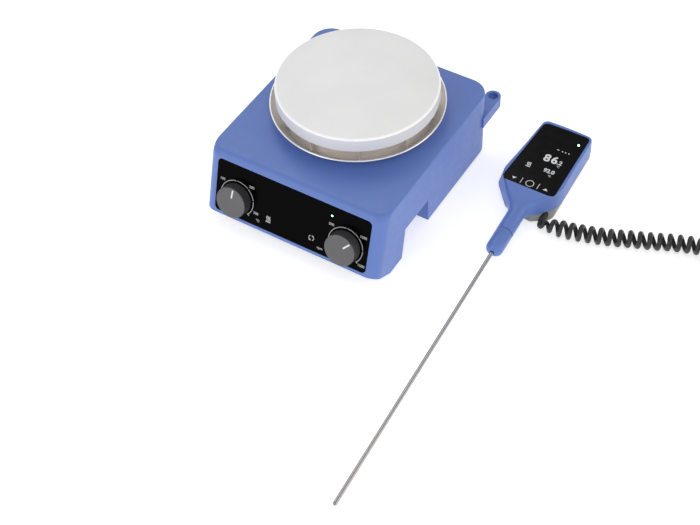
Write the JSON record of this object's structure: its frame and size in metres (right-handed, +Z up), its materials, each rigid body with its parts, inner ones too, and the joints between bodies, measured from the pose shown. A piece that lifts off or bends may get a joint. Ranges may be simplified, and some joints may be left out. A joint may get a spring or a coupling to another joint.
{
  "type": "magnetic stirrer",
  "caption": "Flat-topped magnetic stirrer with a round heating plate, sloping panel with heat and speed knobs, rod holder, and a contact thermometer on a curly cord.",
  "frame": {"origin": "the middle of the set's footprint on the table: the box of the stirrer and its thermometer, without the cord and its plug", "axes": "+Z up; the control panel faces -Y; +X is to the right as seen from the panel, where the thermometer lies"},
  "size_m": [0.4329, 0.3789, 0.092],
  "materials": {
    "blue_plastic": "satin moulded plastic",
    "grey_metal": "powder-coated sheet",
    "rubber": "matt rubber",
    "steel": "bright steel",
    "polished_steel": "polished stainless steel",
    "black_panel": "glossy black with a printed scale",
    "led_green": "clear green lens",
    "knob_grey": "fine-grained grey plastic",
    "white_print": "white inlay",
    "part_plastic": "dark component bodies",
    "board": "solder-masked laminate",
    "plate_white": "white enamelled aluminium alloy",
    "lead_red": "silicone-insulated wire",
    "insulation": "pressed mineral wool",
    "aluminium": "die-cast",
    "magnet": "sintered magnet",
    "copper": "enamelled copper wire",
    "brass": "turned brass",
    "black_plastic": "black moulded plastic",
    "grey_plastic": "grey moulded plastic",
    "cord_black": "black elastomer"
  },
  "bodies": {
    "stirrer": {"housing": "blue_plastic", "base_plate": "grey_metal", "rubber_feet": "rubber", "housing_screws": "steel", "front_panel": "black_panel", "status_led": "led_green", "heat_potentiometer": "part_plastic", "speed_potentiometer": "part_plastic", "spindle_nuts": "steel", "control_board": "board", "heating_plate": "plate_white", "heating_element": "steel", "heater_leads": "lead_red", "plate_sensor": "steel", "safety_thermostat": "part_plastic", "insulation_disc": "insulation", "shield_sheet": "polished_steel", "plate_drum": "polished_steel", "splash_ring": "polished_steel", "plate_posts": "steel", "plate_screws": "steel", "motor_stator": "steel", "motor_windings": "copper", "motor_upper_bracket": "aluminium", "motor_lower_bracket": "aluminium", "motor_bearings": "brass", "motor_dampers": "rubber", "power_board": "board", "transformer": "part_plastic", "board_parts": "part_plastic", "board_standoffs": "brass", "mains_inlet": "black_plastic", "inlet_pins": "steel", "power_switch": "black_plastic", "thermometer_socket": "black_plastic", "coiled_cord": "cord_black", "cord_plug": "cord_black", "plug_shield": "steel"},
    "heat_control": {"heat_knob": "knob_grey", "heat_pointer": "white_print", "heat_spindle": "steel"},
    "speed_control": {"speed_knob": "knob_grey", "speed_pointer": "white_print", "speed_spindle": "steel"},
    "drive": {"magnet_carrier": "aluminium", "drive_magnets": "magnet", "drive_shaft": "steel", "motor_rotor": "steel"},
    "rocker": {"switch_rocker": "black_plastic"},
    "thermometer": {"probe_shell": "blue_plastic", "probe_back": "grey_plastic", "probe_cap": "blue_plastic", "probe_ferrule": "steel", "probe_shaft": "polished_steel", "probe_window": "black_panel", "probe_display": "part_plastic", "probe_board": "board", "probe_screws": "steel", "cord_gland": "cord_black"}
  },
  "joints": [
    {"name": "heat_knob_turn", "type": "hinge", "parent": "stirrer", "child": "heat_control", "pos_m": [-0.0884, -0.01314, 0.03127], "axis": [0, -0.9588, 0.284], "range_deg": [-129, 141]},
    {"name": "speed_knob_turn", "type": "hinge", "parent": "stirrer", "child": "speed_control", "pos_m": [0.0076, -0.01314, 0.03127], "axis": [0, -0.9588, 0.284], "range_deg": [-93, 177]},
    {"name": "drive_spin", "type": "hinge", "parent": "stirrer", "child": "drive", "pos_m": [-0.0404, 0.0862, 0.04], "axis": [0, 0, 1], "continuous": true},
    {"name": "switch_rock", "type": "hinge", "parent": "stirrer", "child": "rocker", "pos_m": [-0.0484, 0.1562, 0.03], "axis": [0, 0, 1], "range_deg": [-12, 0]},
    {"name": "thermometer_lift", "type": "slide", "parent": "stirrer", "child": "thermometer", "axis": [0, 0, 1], "range_m": [0, 0.1]}
  ]
}
